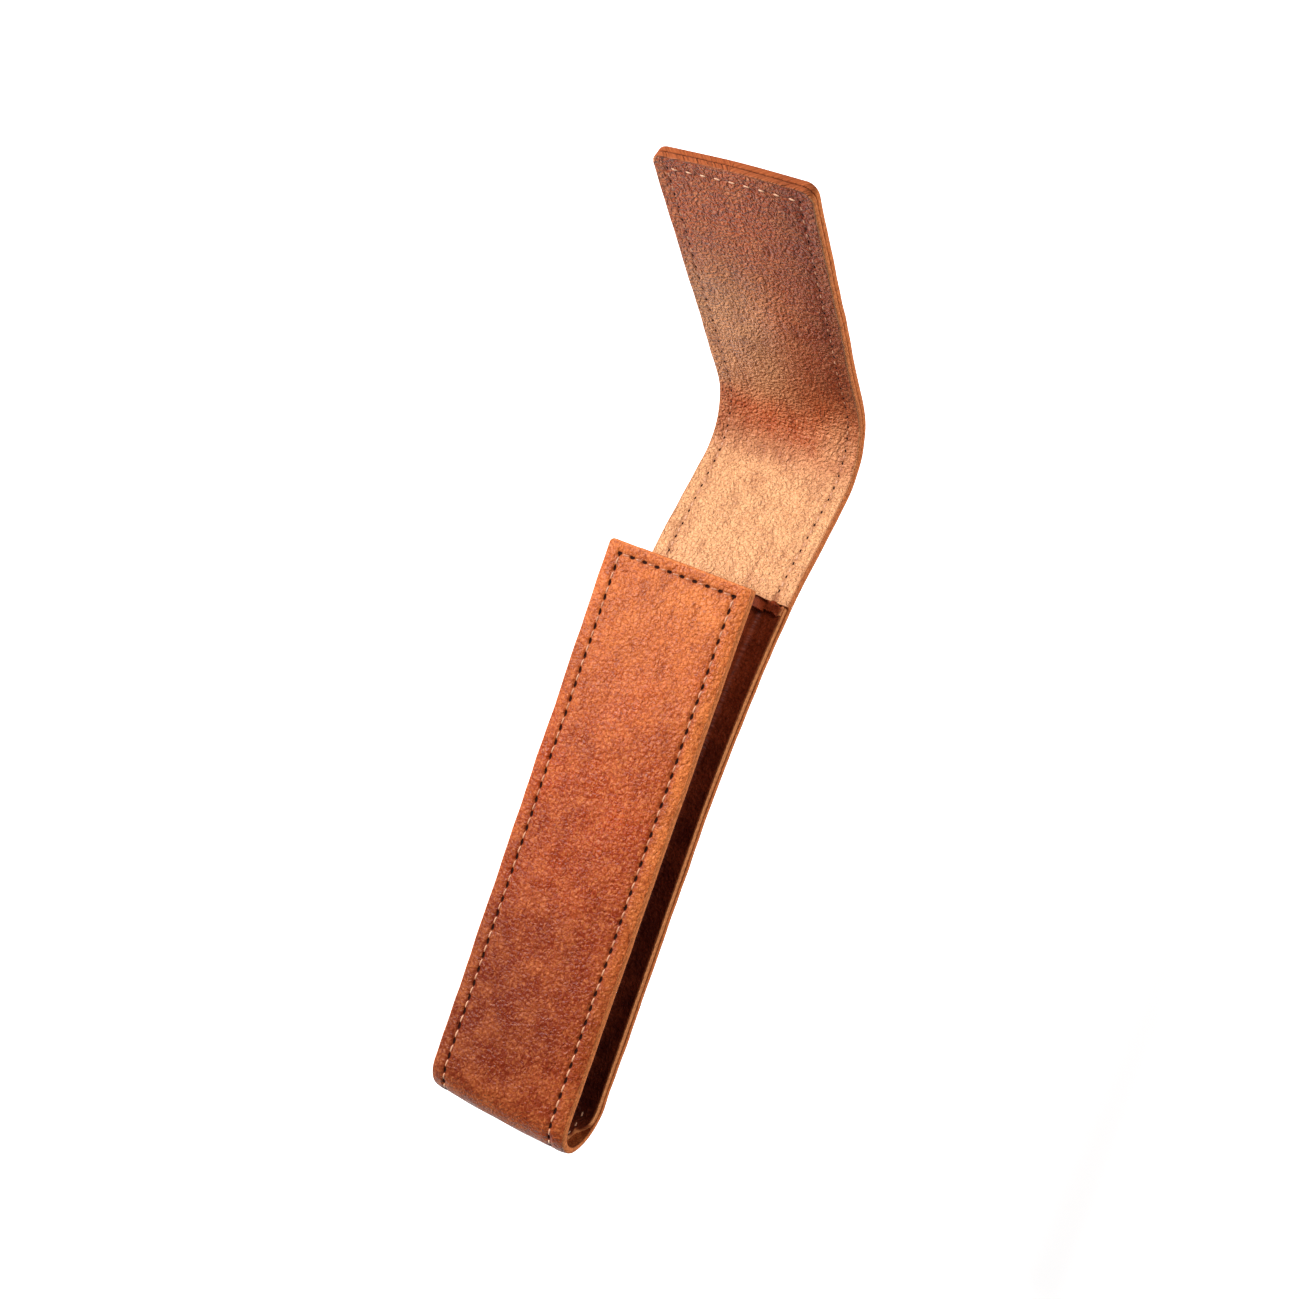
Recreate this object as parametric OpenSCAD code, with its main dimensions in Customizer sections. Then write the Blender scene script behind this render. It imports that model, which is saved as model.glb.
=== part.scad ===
// Pen sleeve for one pen: a leather strap folded into a pocket, closed at the sides by
// two gussets, and carried on as a lined neck and flap that folds over the mouth.
// The sleeve lies on its back. X runs across it, Y along it towards the flap, Z out of the front.

/* [Pocket] */
// Width of the strap, which is the width of the whole sleeve
body_w = 30; // [26:1:44]
// Length of the pocket, from the mouth to the foot
body_l = 109; // [95:1:150]
// Depth of the pocket, outside to outside
body_d = 14.6; // [13:0.2:20]
// Length of the back panel that leans out towards the mouth
flare_l = 47; // [30:1:60]
// Angle that the back panel has leaned out by at the mouth
flare_turn = 13.5; // [8:0.5:16]

/* [Leather] */
// Thickness of the strap's outer leather
outer_t = 1.2; // [1:0.1:1.8]
// Thickness of the thinner leather of lining, facing and gussets
lining_t = 1; // [0.8:0.1:1.4]
// How far the lining reaches down into the pocket from the mouth
lining_drop = 30; // [15:1:45]
// How far the facing reaches down the inside of the front panel
facing_l = 32; // [24:1:60]

/* [Gussets] */
// How far each gusset's web is set in from the side edges of the strap
gusset_recess = 5; // [4:0.2:6]
// Height of the hem turned outwards at the top of each gusset
hem_l = 2.1; // [1:0.1:4]

/* [Neck and flap] */
// Length of the short bend at the foot of the neck
neck_base_l = 3.5; // [2:0.5:6]
// Angle that the neck leans back by past the lean of the back panel
neck_turn = 6.9; // [2:0.1:8]
// Length of the neck's flat part
neck_rise_l = 16.2; // [12:0.2:24]
// Length of the crease that the strap keeps from lying closed
crease_l = 21.6; // [19:0.2:26]
// Angle that the crease turns the strap by while the sleeve is open
crease_turn = 80; // [70:1:90]
// Length of the strap from the crease to the flap's end
flap_l = 54.2; // [48:0.2:64]
// Radius of the flap's two corners
tip_r = 3; // [1:0.5:6]
// Gap between the closed flap and the front panel
flap_gap = 0.4; // [0.3:0.1:1]

/* [Bending] */
// Lengths that the crease is divided into
crease_count = 4; // [3:1:4]
// Lengths that the fold beyond the crease is divided into
fold_count = 3; // [2:1:3]
// Clearance round each hinge line
hinge_gap = 0.15; // [0.1:0.01:0.2]

/* [Magnets] */
// Diameter of the closing magnets
magnet_d = 10; // [6:0.5:12]
// Thickness of the closing magnets
magnet_t = 1; // [0.6:0.1:1]
// Distance from the flap's end to the middle of its magnet
magnet_tip = 9.5; // [9:0.5:12]
// Clearance round each magnet
magnet_gap = 0.05; // [0.02:0.01:0.1]

/* [Stitching] */
// Distance from the side edges to the side seams
seam_inset = 3; // [2:0.1:4]
// Distance from the mouth to the seam across the front panel
mouth_inset = 2.2; // [1.6:0.1:4]
// Distance from the flap's end to the seam across it
tip_inset = 3.8; // [2.5:0.1:3.9]
// Distance from one stitch to the next
stitch_pitch = 2.8; // [2.4:0.1:4]
// Length of a stitch that shows
stitch_l = 1.9; // [1.2:0.1:2]
// Width of the thread
thread_w = 0.6; // [0.4:0.05:0.9]
// Thickness of the thread
thread_t = 0.25; // [0.15:0.05:0.3]
// Clearance between the thread and the walls of the channel that it lies in
thread_gap = 0.1; // [0.05:0.01:0.15]
// Depth that the thread lies below the leather's face
thread_sink = 0.06; // [0.03:0.01:0.1]

/* [Hidden] */
$fa = 1;
$fs = 0.2;
crease_ids = [for (i = [1:crease_count]) i];
fold_ids = [for (i = [1:fold_count]) i];

outer_tone = [0.72, 0.38, 0.20];
lining_tone = [0.66, 0.34, 0.19];
gusset_tone = [0.40, 0.17, 0.10];
thread_tone = [0.80, 0.52, 0.33];
steel_tone = [0.75, 0.76, 0.78];

// The whole strap and its lining, and the line half way through them that every hinge lies on
stack_t = outer_t + lining_t;
hinge_depth = stack_t / 2;
knuckle_r = stack_t / 2;
socket_r = knuckle_r + hinge_gap;
// A knuckle reaches this far into the length that it begins
knuckle_lap = 0.05;
// A socket opens this far along the strap's faces
socket_mouth = sqrt(socket_r * socket_r - knuckle_r * knuckle_r);

// Where the pocket's foot, its back and its mouth lie, with the middle of the flat back at zero
bend_r = body_d / 2;
front_l = body_l - bend_r;
back_flat_l = front_l - flare_l;
bend_y = -back_flat_l / 2;
mouth_y = bend_y + front_l;
crease_r = crease_l / crease_turn * 180 / PI;
tiny = 0.001;

// The strap's outer face seen from the side: each length, the angle that it turns by, and the
// number of flats that a bend is made of
strap = [
    [front_l, 0, 1],
    [PI * bend_r, 180, 36],
    [back_flat_l, 0, 1],
    [flare_l, -flare_turn, 12],
    [neck_base_l, -neck_turn, 4],
    [neck_rise_l, 0, 1],
    [crease_l, crease_turn, 8 * crease_count],
    [flap_l, 0, 1]
];
// A place on the strap is [y, z, heading], and the strap starts at the front of the mouth
strap_start = [mouth_y, body_d, 180];

function after(place, l, turn) =
    turn == 0
    ? [place[0] + l * cos(place[2]), place[1] + l * sin(place[2]), place[2]]
    : let (r = l / turn * 180 / PI, end = place[2] + turn)
      [
          place[0] + r * (sin(end) - sin(place[2])),
          place[1] - r * (cos(end) - cos(place[2])),
          end
      ];
function run_up_to(k) = k == 0 ? 0 : run_up_to(k - 1) + strap[k - 1][0];
function start_of(k) = k == 0 ? strap_start : after(start_of(k - 1), strap[k - 1][0], strap[k - 1][1]);
function along(k, share) = after(start_of(k), strap[k][0] * share, strap[k][1] * share);
function length_holding(s, k = 0) =
    k == len(strap) - 1 || s < run_up_to(k + 1) ? k : length_holding(s, k + 1);
function share_of(k, s) = (s - run_up_to(k)) / strap[k][0];
function at(s) = let (k = length_holding(s)) along(k, share_of(k, s));
function inside(place, depth) = [place[0] - depth * sin(place[2]), place[1] + depth * cos(place[2])];
function hinge(s) = inside(at(s), hinge_depth);

// A point below the outer face, on the flats that make up the bends
function point(s, depth) =
    let (k = length_holding(s), flats = strap[k][2], u = share_of(k, s) * flats, i = floor(u))
    inside(along(k, i / flats), depth) * (1 - u + i) + inside(along(k, (i + 1) / flats), depth) * (u - i);
knots = [for (k = [0:len(strap) - 1]) for (i = [0:strap[k][2] - 1]) run_up_to(k) + strap[k][0] * i / strap[k][2]];
function line(s_from, s_to, depth) = concat(
    [point(s_from, depth)],
    [for (s = knots) if (s > s_from + tiny && s < s_to - tiny) point(s, depth)],
    [point(s_to, depth)]
);
function reversed(list) = [for (i = [len(list) - 1:-1:0]) list[i]];

// Runs along the strap at which its parts begin and end
mouth_s = run_up_to(4);
crease_s = run_up_to(6);
fold_s = run_up_to(7);
end_s = run_up_to(8);
crease_piece_l = crease_l / crease_count;

// The fold is as long as lays the closed flap flap_gap in front of the front panel
lean = flare_turn + neck_turn;
fold_step = (180 - crease_turn) / (fold_count + 1);
fold_sines = [for (k = fold_ids) sin(crease_turn + k * fold_step)];
fold_cosines = [for (k = fold_ids) cos(crease_turn + k * fold_step)];
function total(list, k = 0) = k == len(list) ? 0 : list[k] + total(list, k + 1);
neck_span = hinge(crease_s) - hinge(mouth_s);
closed_crease_y = hinge(mouth_s)[0] + neck_span[0] * cos(lean) - neck_span[1] * sin(lean);
closed_crease_z = hinge(mouth_s)[1] + neck_span[0] * sin(lean) + neck_span[1] * cos(lean);
closed_fold_y = closed_crease_y + (crease_r - hinge_depth) * sin(crease_turn);
closed_fold_z = closed_crease_z + (crease_r - hinge_depth) * (1 - cos(crease_turn));
fold_piece_l = (body_d + flap_gap + hinge_depth - closed_fold_z) / total(fold_sines);
flap_s = fold_s + fold_count * fold_piece_l;
closed_tip_y = closed_fold_y + fold_piece_l * total(fold_cosines) - (end_s - flap_s);
magnet_y = closed_tip_y + magnet_tip;

// Across the sleeve
half_w = body_w / 2;
web_x = half_w - gusset_recess;
inner_x = web_x - lining_t;
panel_x = inner_x - thread_gap;
seam_x = half_w - seam_inset;
channel_w = thread_w + 2 * thread_gap;
channel_t = thread_t + thread_sink;
magnet_share = magnet_t / 2;

// Outlines in the plane of the sleeve's side, and their sweep across it
module across(x_from, x_to) {
    translate([x_from, 0, 0]) rotate([90, 0, 90]) linear_extrude(x_to - x_from) children();
}

// A layer of the strap seen from the side, between two runs and two depths below the outer face
module layer(s_from, s_to, depth_from, depth_to) {
    polygon(concat(line(s_from, s_to, depth_from), reversed(line(s_from, s_to, depth_to))));
}

module hinge_disc(s, r) {
    translate(hinge(s)) circle(r);
}

// One length of the strap: a round knuckle where it begins and a socket where it ends
module link(s_from, s_to, depth_from, depth_to, socket = true) {
    place = at(s_from);
    difference() {
        union() {
            layer(s_from, s_to, depth_from, depth_to);
            intersection() {
                hinge_disc(s_from, knuckle_r);
                translate([place[0], place[1]]) rotate(place[2])
                    translate([-stack_t, depth_from]) square([stack_t + knuckle_lap, depth_to - depth_from]);
            }
        }
        if (socket) hinge_disc(s_to, socket_r);
    }
}

// The pocket's inside seen from the side, at a depth below the strap's outer face
module pocket_area(depth) {
    polygon(line(0, mouth_s, depth));
}

// A frame that lies on the strap: X across, Y along it and Z into the leather
module on_strap(s) {
    place = at(s);
    translate([0, place[0], place[1]]) rotate([place[2], 0, 0]) children();
}

// Stitches and the channels that they lie in, where a side channel runs on past the one that it meets
module channel(s_from, s_to, x, inner = false) {
    across(x - channel_w / 2, x + channel_w / 2)
        layer(s_from, s_to, inner ? stack_t - channel_t : -1, inner ? stack_t + 1 : channel_t);
}

module side_channels(s_from, s_to, inner = false) {
    for (side = [-1, 1]) channel(s_from, s_to, side * seam_x, inner);
}

module run_of_stitches(s_from, s_to, x, inner = false) {
    count = max(1, floor((s_to - s_from) / stitch_pitch + 0.25));
    step = (s_to - s_from) / count;
    top = inner ? stack_t - channel_t : thread_sink;
    for (i = [0:count - 1]) {
        middle = s_from + (i + 0.5) * step;
        across(x - thread_w / 2, x + thread_w / 2)
            layer(middle - stitch_l / 2, middle + stitch_l / 2, top, top + thread_t);
    }
}

module side_stitches(s_from, s_to) {
    for (side = [-1, 1]) {
        run_of_stitches(s_from, s_to - socket_mouth, side * seam_x);
        run_of_stitches(s_from, s_to - socket_mouth, side * seam_x, true);
    }
}

module cross_channel(s, depth) {
    on_strap(s) translate([-seam_x, -channel_w / 2, depth]) cube([2 * seam_x, channel_w, channel_t + 1]);
}

module cross_stitches(s, depth) {
    span = 2 * seam_x - stitch_pitch;
    count = floor(span / stitch_pitch);
    step = span / count;
    for (i = [0:count - 1]) {
        on_strap(s) translate([-span / 2 + (i + 0.5) * step - stitch_l / 2, -thread_w / 2, depth])
            cube([stitch_l, thread_w, thread_t]);
    }
}

// Magnets lie half in the outer leather and half in the leather behind it
module magnet(s, gap = 0) {
    on_strap(s) translate([0, 0, outer_t - magnet_share - gap])
        cylinder(d = magnet_d + 2 * gap, h = magnet_t + 2 * gap);
}

// Pocket
module outer_wrap() {
    color(outer_tone) difference() {
        across(-half_w, half_w) difference() {
            layer(0, mouth_s, 0, outer_t);
            hinge_disc(mouth_s, socket_r);
        }
        side_channels(mouth_inset - channel_w, mouth_s);
        cross_channel(mouth_inset, -1);
        magnet(mouth_y - magnet_y, magnet_gap);
    }
}

module gusset(side) {
    flange_from = side > 0 ? inner_x : -half_w;
    flange_to = side > 0 ? half_w : -inner_x;
    web_from = side > 0 ? inner_x : -web_x;
    hem_from = side > 0 ? web_x : -web_x - lining_t;
    color(gusset_tone) difference() {
        union() {
            across(flange_from, flange_to) layer(0, mouth_s, outer_t, stack_t);
            across(web_from, web_from + lining_t) pocket_area(outer_t);
            across(hem_from, hem_from + lining_t) intersection() {
                pocket_area(outer_t);
                translate([mouth_y - hem_l, -body_d]) square([hem_l, 3 * body_d]);
            }
        }
        across(-half_w - 1, half_w + 1) hinge_disc(mouth_s, socket_r);
    }
}

module gusset_left() { gusset(-1); }

module gusset_right() { gusset(1); }

module front_facing() {
    color(lining_tone) difference() {
        across(-panel_x, panel_x) layer(0, facing_l, outer_t, stack_t);
        magnet(mouth_y - magnet_y, magnet_gap);
    }
}

module pocket_lining() {
    color(lining_tone) across(-panel_x, panel_x) difference() {
        layer(mouth_s - lining_drop, mouth_s, outer_t, stack_t);
        hinge_disc(mouth_s, socket_r);
    }
}

module front_magnet() {
    color(steel_tone) magnet(mouth_y - magnet_y);
}

module pocket_seam(side) {
    color(thread_tone) run_of_stitches(mouth_inset + thread_w, mouth_s - socket_mouth, side * seam_x);
}

module seam_left() { pocket_seam(-1); }

module seam_right() { pocket_seam(1); }

module mouth_seam() {
    color(thread_tone) cross_stitches(mouth_inset, thread_sink);
}

// Any length of the strap above the mouth: outer leather, lining and stitches
module strap_outer(s_from, s_to) {
    color(outer_tone) difference() {
        across(-half_w, half_w) link(s_from, s_to, 0, outer_t);
        side_channels(s_from, s_to);
    }
}

module strap_lining(s_from, s_to) {
    color(lining_tone) difference() {
        across(-half_w, half_w) link(s_from, s_to, outer_t, stack_t);
        side_channels(s_from, s_to, true);
    }
}

module strap_seam(s_from, s_to) {
    color(thread_tone) side_stitches(s_from, s_to);
}

// Neck
module neck_outer() { strap_outer(mouth_s, crease_s); }

module neck_lining() { strap_lining(mouth_s, crease_s); }

module neck_seam() { strap_seam(mouth_s, crease_s); }

// Crease, in equal lengths
function crease_from(i) = crease_s + (i - 1) * crease_piece_l;

module crease_outer(i) { strap_outer(crease_from(i), crease_from(i + 1)); }

module crease_lining(i) { strap_lining(crease_from(i), crease_from(i + 1)); }

module crease_seam(i) { strap_seam(crease_from(i), crease_from(i + 1)); }

// Fold, in equal lengths
function fold_from(i) = fold_s + (i - 1) * fold_piece_l;

module fold_outer(i) { strap_outer(fold_from(i), fold_from(i + 1)); }

module fold_lining(i) { strap_lining(fold_from(i), fold_from(i + 1)); }

module fold_seam(i) { strap_seam(fold_from(i), fold_from(i + 1)); }

// Flap
module flap_corners() {
    for (side = [-1, 1]) {
        on_strap(end_s) translate([0, 0, -1]) linear_extrude(stack_t + 2) difference() {
            translate([side > 0 ? half_w - tip_r : -half_w - 1, -tip_r]) square([tip_r + 1, tip_r + 1]);
            translate([side * (half_w - tip_r), -tip_r]) circle(tip_r);
        }
    }
}

module flap_leather(depth_from, depth_to) {
    difference() {
        across(-half_w, half_w) link(flap_s, end_s, depth_from, depth_to, socket = false);
        flap_corners();
        magnet(end_s - magnet_tip, magnet_gap);
    }
}

module flap_outer() {
    color(outer_tone) difference() {
        flap_leather(0, outer_t);
        side_channels(flap_s, end_s - tip_inset + channel_w);
        cross_channel(end_s - tip_inset, -1);
    }
}

module flap_lining() {
    color(lining_tone) difference() {
        flap_leather(outer_t, stack_t);
        side_channels(flap_s, end_s - tip_inset + channel_w, inner = true);
        cross_channel(end_s - tip_inset, stack_t - channel_t);
    }
}

module flap_magnet() {
    color(steel_tone) magnet(end_s - magnet_tip);
}

module flap_seam() {
    color(thread_tone) {
        side_stitches(flap_s, end_s - tip_inset);
        cross_stitches(end_s - tip_inset, thread_sink);
        cross_stitches(end_s - tip_inset, stack_t - channel_t);
    }
}

outer_wrap();
gusset_left();
gusset_right();
front_facing();
pocket_lining();
front_magnet();
seam_left();
seam_right();
mouth_seam();
neck_outer();
neck_lining();
neck_seam();
for (i = crease_ids) {
    crease_outer(i);
    crease_lining(i);
    crease_seam(i);
}
for (i = fold_ids) {
    fold_outer(i);
    fold_lining(i);
    fold_seam(i);
}
flap_outer();
flap_lining();
flap_magnet();
flap_seam();
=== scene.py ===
"""Looks of a slim leather sleeve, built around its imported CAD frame.

A strap of leather is folded into a pocket with a gusset on each side, and runs on above the
mouth as a lined neck and flap. Each leather part is cut here as a flat blank, in millimetres
across and along the strap, and then laid along the strap's path as the frame has it.
"""

import math

import bmesh
import bpy
import numpy as np
from mathutils import Matrix, Vector


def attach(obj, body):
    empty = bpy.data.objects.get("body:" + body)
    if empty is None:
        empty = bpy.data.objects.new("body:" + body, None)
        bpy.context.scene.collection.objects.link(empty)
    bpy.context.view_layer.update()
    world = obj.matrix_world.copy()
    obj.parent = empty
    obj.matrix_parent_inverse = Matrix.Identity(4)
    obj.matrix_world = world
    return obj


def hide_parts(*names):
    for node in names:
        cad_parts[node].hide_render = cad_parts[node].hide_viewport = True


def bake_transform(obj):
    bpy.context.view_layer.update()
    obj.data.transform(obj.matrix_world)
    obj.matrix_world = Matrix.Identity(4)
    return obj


MM = 0.001
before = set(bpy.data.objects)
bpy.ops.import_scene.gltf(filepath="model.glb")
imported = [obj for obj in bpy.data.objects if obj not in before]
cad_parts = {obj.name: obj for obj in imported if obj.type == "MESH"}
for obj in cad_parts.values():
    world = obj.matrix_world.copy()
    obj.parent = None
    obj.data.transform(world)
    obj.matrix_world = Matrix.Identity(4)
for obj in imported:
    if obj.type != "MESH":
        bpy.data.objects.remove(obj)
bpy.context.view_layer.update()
scene = bpy.context.scene

# Sizes of the sleeve in millimetres, as in the part's source
BODY_W, BODY_L, BODY_D = 30.0, 109.0, 14.6
FLARE_L, FLARE_TURN = 47.0, 13.5
NECK_BASE_L, NECK_TURN, NECK_RISE_L = 3.5, 6.9, 16.2
CREASE_L, CREASE_TURN, CREASE_COUNT = 21.6, 80.0, 4
FLAP_L, FOLD_PIECE_L, FOLD_COUNT = 54.2, 3.92133, 3
OUTER_T, LINING_T = 1.2, 1.0
STACK_T = OUTER_T + LINING_T
HALF_W = BODY_W / 2
BEND_R = BODY_D / 2
FRONT_L = BODY_L - BEND_R
BACK_FLAT_L = FRONT_L - FLARE_L
MOUTH_Y = FRONT_L - BACK_FLAT_L / 2
WEB_X = 10.0
PANEL_X = 8.9
FACING_L, LINING_DROP = 32.0, 30.0
MOUTH_INSET, TIP_INSET = 2.2, 2.6
TIP_R, MOUTH_R = 2.2, 1.0
HEM_L = 2.1
GUSSET_DROP = 2.2  # the gussets end this much lower on the back panel than at the front
SEAM_X, TIP_SEAM_X = 12.0, 12.4  # the side seams, on the pocket and at the flap's tip
SEAM_COUNT, CROSS_COUNT = 113, 9  # stitches along a side and across

# The strap's outer face from the front of the mouth: each length and the degrees it turns by
STRAP = (
    (FRONT_L, 0.0),
    (math.pi * BEND_R, 180.0),
    (BACK_FLAT_L, 0.0),
    (FLARE_L, -FLARE_TURN),
    (NECK_BASE_L, -NECK_TURN),
    (NECK_RISE_L, 0.0),
    (CREASE_L, CREASE_TURN),
    (FLAP_L, 0.0),
)


def strap_starts():
    """Run, y, z and heading at which each length of the strap starts."""
    run, y, z, heading = 0.0, MOUTH_Y, BODY_D, math.pi
    rows = []
    for length, turn in STRAP:
        rows.append((run, y, z, heading))
        end = heading + math.radians(turn)
        if turn:
            r = length / math.radians(turn)
            y += r * (math.sin(end) - math.sin(heading))
            z -= r * (math.cos(end) - math.cos(heading))
        else:
            y += length * math.cos(heading)
            z += length * math.sin(heading)
        run, heading = run + length, end
    rows.append((run, y, z, heading))
    return np.array(rows)


STARTS = strap_starts()
BEND_S, BACK_S = STARTS[1:3, 0]
MOUTH_S = STARTS[4, 0]
CREASE_S, FOLD_S, END_S = STARTS[6:9, 0]
WRAP_END = MOUTH_S - 3.0  # the pocket's outer leather meets the neck's here
POCKET_LINING_END = MOUTH_S - 5.9  # it stops 2.9 mm short of the neck's lining


def at(s):
    """y, z and heading of the strap's outer face at each run along it."""
    s = np.asarray(s, float)
    k = np.clip(np.searchsorted(STARTS[:-1, 0], s, side="right") - 1, 0, len(STRAP) - 1)
    run, y, z, heading = STARTS[k].T
    length = np.array([x[0] for x in STRAP])[k]
    turn = np.radians([x[1] for x in STRAP])[k]
    gone = s - run
    straight = np.abs(turn) < 1e-9
    bend = np.where(straight, 1.0, turn)
    r = length / bend
    end = heading + gone / length * turn
    y2 = np.where(straight, y + gone * np.cos(heading), y + r * (np.sin(end) - np.sin(heading)))
    z2 = np.where(straight, z + gone * np.sin(heading), z - r * (np.cos(end) - np.cos(heading)))
    return y2, z2, end


def laid(x, s, depth):
    """Points of a blank laid along the strap: across, along, and below its outer face."""
    y, z, heading = at(s)
    return np.stack([x, y - depth * np.sin(heading), z + depth * np.cos(heading)], axis=1)


def smooth(t):
    """Eases from 0 at 0 and less to 1 at 1 and more."""
    t = np.clip(t, 0.0, 1.0)
    return t * t * (3.0 - 2.0 * t)


# How the leather lies away from the flat

SEAM_PITCH = (END_S - TIP_INSET - MOUTH_INSET) / SEAM_COUNT
CROSS_PITCH_MOUTH = 2 * SEAM_X / CROSS_COUNT
CROSS_PITCH_TIP = 2 * TIP_SEAM_X / CROSS_COUNT
CROSS_DENT_PITCH = 2.7  # between the two pitches across
SEAM_OVERRUN = 0.4  # a seam marks the leather this far past its end
NO_SEAM = 4.0  # distance given to a point that no seam comes near


def seam_x(s):
    """The side seams run a little nearer to the edge on the flap than on the pocket."""
    return SEAM_X + (TIP_SEAM_X - SEAM_X) * smooth((s - MOUTH_S) / 25.0)


def seam_places(x, s):
    """Signed distance from the side seams and from the nearer seam across, and how many stitches
    along each of them a point lies."""
    side_off = np.abs(x) - seam_x(s)
    past = np.maximum(MOUTH_INSET - SEAM_OVERRUN - s, s - (END_S - TIP_INSET + SEAM_OVERRUN))
    side_off = np.where(past > 0, NO_SEAM, side_off)
    tip = s > END_S / 2
    cross_off = np.where(tip, s - (END_S - TIP_INSET), s - MOUTH_INSET)
    reach = np.where(tip, TIP_SEAM_X, SEAM_X)
    pitch = np.where(tip, CROSS_PITCH_TIP, CROSS_PITCH_MOUTH)
    cross_off = np.where(np.abs(x) > reach + SEAM_OVERRUN, NO_SEAM, cross_off)
    return side_off, (s - MOUTH_INSET) / SEAM_PITCH, cross_off, (x + reach) / pitch


def seam_marks(x, s):
    """Groove that the thread pulls into the leather, and the dents at its needle holes, 0 to 1."""
    side_off, side_run, cross_off, cross_run = seam_places(x, s)
    groove = np.zeros_like(x)
    holes = np.zeros_like(x)
    seams = ((side_off, side_run, SEAM_PITCH), (cross_off, cross_run, CROSS_DENT_PITCH))
    for off, run, pitch in seams:
        along = ((run + 0.5) % 1 - 0.5) * pitch
        groove = np.maximum(groove, np.exp(-((off / 0.55) ** 2)))
        holes = np.maximum(holes, np.exp(-((off / 0.32) ** 2) - (along / 0.55) ** 2))
    return groove, holes


def roll(x, s):
    """How far the margins outside the side seams roll back."""
    height = np.interp(
        s,
        [0, BEND_S - 6, BEND_S + 8, BACK_S, MOUTH_S - 12, MOUTH_S, CREASE_S, END_S],
        [0.5, 0.6, 0.4, 0.35, 0.3, 0.12, 0.1, 0.1],
    )
    share = np.clip(np.abs(x) - TIP_SEAM_X, 0, None) / (HALF_W - TIP_SEAM_X)
    return height * share**1.8


def crown(x, s):
    """How far the panel between the side seams stands proud."""
    height = np.interp(
        s,
        [0, 18, 34, BEND_S - 10, BEND_S + 11, BACK_S + 10, MOUTH_S - 20, MOUTH_S, CREASE_S],
        [0.03, 0.05, 0.4, 0.4, 0.15, 0.3, 0.3, 0.0, 0.0],
    )
    return height * (1 - np.clip(np.abs(x) / SEAM_X, 0, 1) ** 2.4)


def waves(x, s):
    """Slow unevenness of a soft sheet, in millimetres, more of it on the flap."""
    low = (
        0.05 * np.sin(0.21 * s + 0.16 * x + 0.7)
        + 0.04 * np.sin(0.34 * s - 0.27 * x + 2.1)
        + 0.03 * np.sin(0.61 * x + 0.13 * s + 4.0)
        + 0.02 * np.sin(1.05 * s + 0.5 * x + 1.3)
    )
    inner = smooth((15.0 - np.abs(x)) / 9.0) * smooth((END_S - 18 - s) / 10.0)
    # Where the closed flap lies on the front panel, both are nearly flat
    closing = np.maximum(1 - smooth((s - 16) / 8.0), smooth((s - END_S + 24) / 8.0))
    return low * (1 + 1.5 * inner * smooth((s - FOLD_S) / 12.0)) * (1 - 0.8 * closing)


def spread(x, s):
    """The strap is cut a little wide, with slightly wavy edges."""
    edge = smooth((np.abs(x) - 9.0) / 6.0)
    wavy = 0.03 * np.sin(0.37 * s + np.sign(x) * 1.1) + 0.02 * np.sin(0.9 * s + 2.0 + np.sign(x))
    return x + np.sign(x) * edge * (0.24 + wavy)


def stretch(x, s):
    """The flap's tip is cut to a faint curve, a little longer than square."""
    return s + smooth((s - END_S + 16) / 16.0) * (0.55 + 0.5 * np.cos(x * math.pi / 34) ** 2)


def set_at_foot(points, x):
    """The strap is folded slightly askew and fuller at the front of the foot."""
    y, z = points[:, 1], points[:, 2]
    low = smooth((MOUTH_Y - 20 - y) / 85.0)
    full = 0.85 * smooth((z - 1.0) / 7.0) * smooth((-15.0 - y) / 16.0)
    points[:, 1] = y + 0.028 * x * low - full
    return points


# Making of pieces


def columns(half, rim):
    """Stations across a blank: close together at its edges and at its side seams."""
    out = [half - d for d in rim] + [half - d for d in (0.85, 1.25, 1.6, 1.9)]
    out += list(np.arange(13.0, 11.2, -0.2)) if half > 12 else []
    start = min(out) - 0.35
    count = max(2, round(2 * start / 0.56))
    inner = np.linspace(-start, start, count + 1)
    return np.unique(np.round(np.concatenate([out, -np.array(out), inner]), 5))


def rows(start, end, step, rim=(), start_rim=False, end_rim=False):
    """Stations along a blank, with extra ones where an end is rounded."""
    a, b = start, end
    first, last = [], []
    if start_rim:
        first = [start + d for d in rim]
        a = first[-1]
    if end_rim:
        last = [end - d for d in rim]
        b = last[-1]
    count = max(1, round((b - a) / step))
    return np.unique(np.round(np.concatenate([first, np.linspace(a, b, count + 1), last]), 5))


def sheet_grid(xs, ss):
    """A bmesh grid whose rows and columns lie at the given stations."""
    bm = bmesh.new()
    nx, ns = len(xs) - 1, len(ss) - 1
    bmesh.ops.create_grid(bm, x_segments=nx, y_segments=ns, size=1)
    for v in bm.verts:
        i, j = round((v.co.x + 1) / 2 * nx), round((v.co.y + 1) / 2 * ns)
        v.co = (xs[i], ss[j], 0.0)
    return bm


def coordinates(mesh):
    co = np.empty(len(mesh.vertices) * 3)
    mesh.vertices.foreach_get("co", co)
    return co.reshape(-1, 3)


def set_coordinates(mesh, co):
    mesh.vertices.foreach_set("co", np.asarray(co, np.float32).ravel())
    mesh.update()


def mark(mesh, name, values):
    """Gives each point a value that a material reads by its name."""
    layer = mesh.attributes.new(name, "FLOAT", "POINT")
    layer.data.foreach_set("value", np.asarray(values, np.float32))


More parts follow.
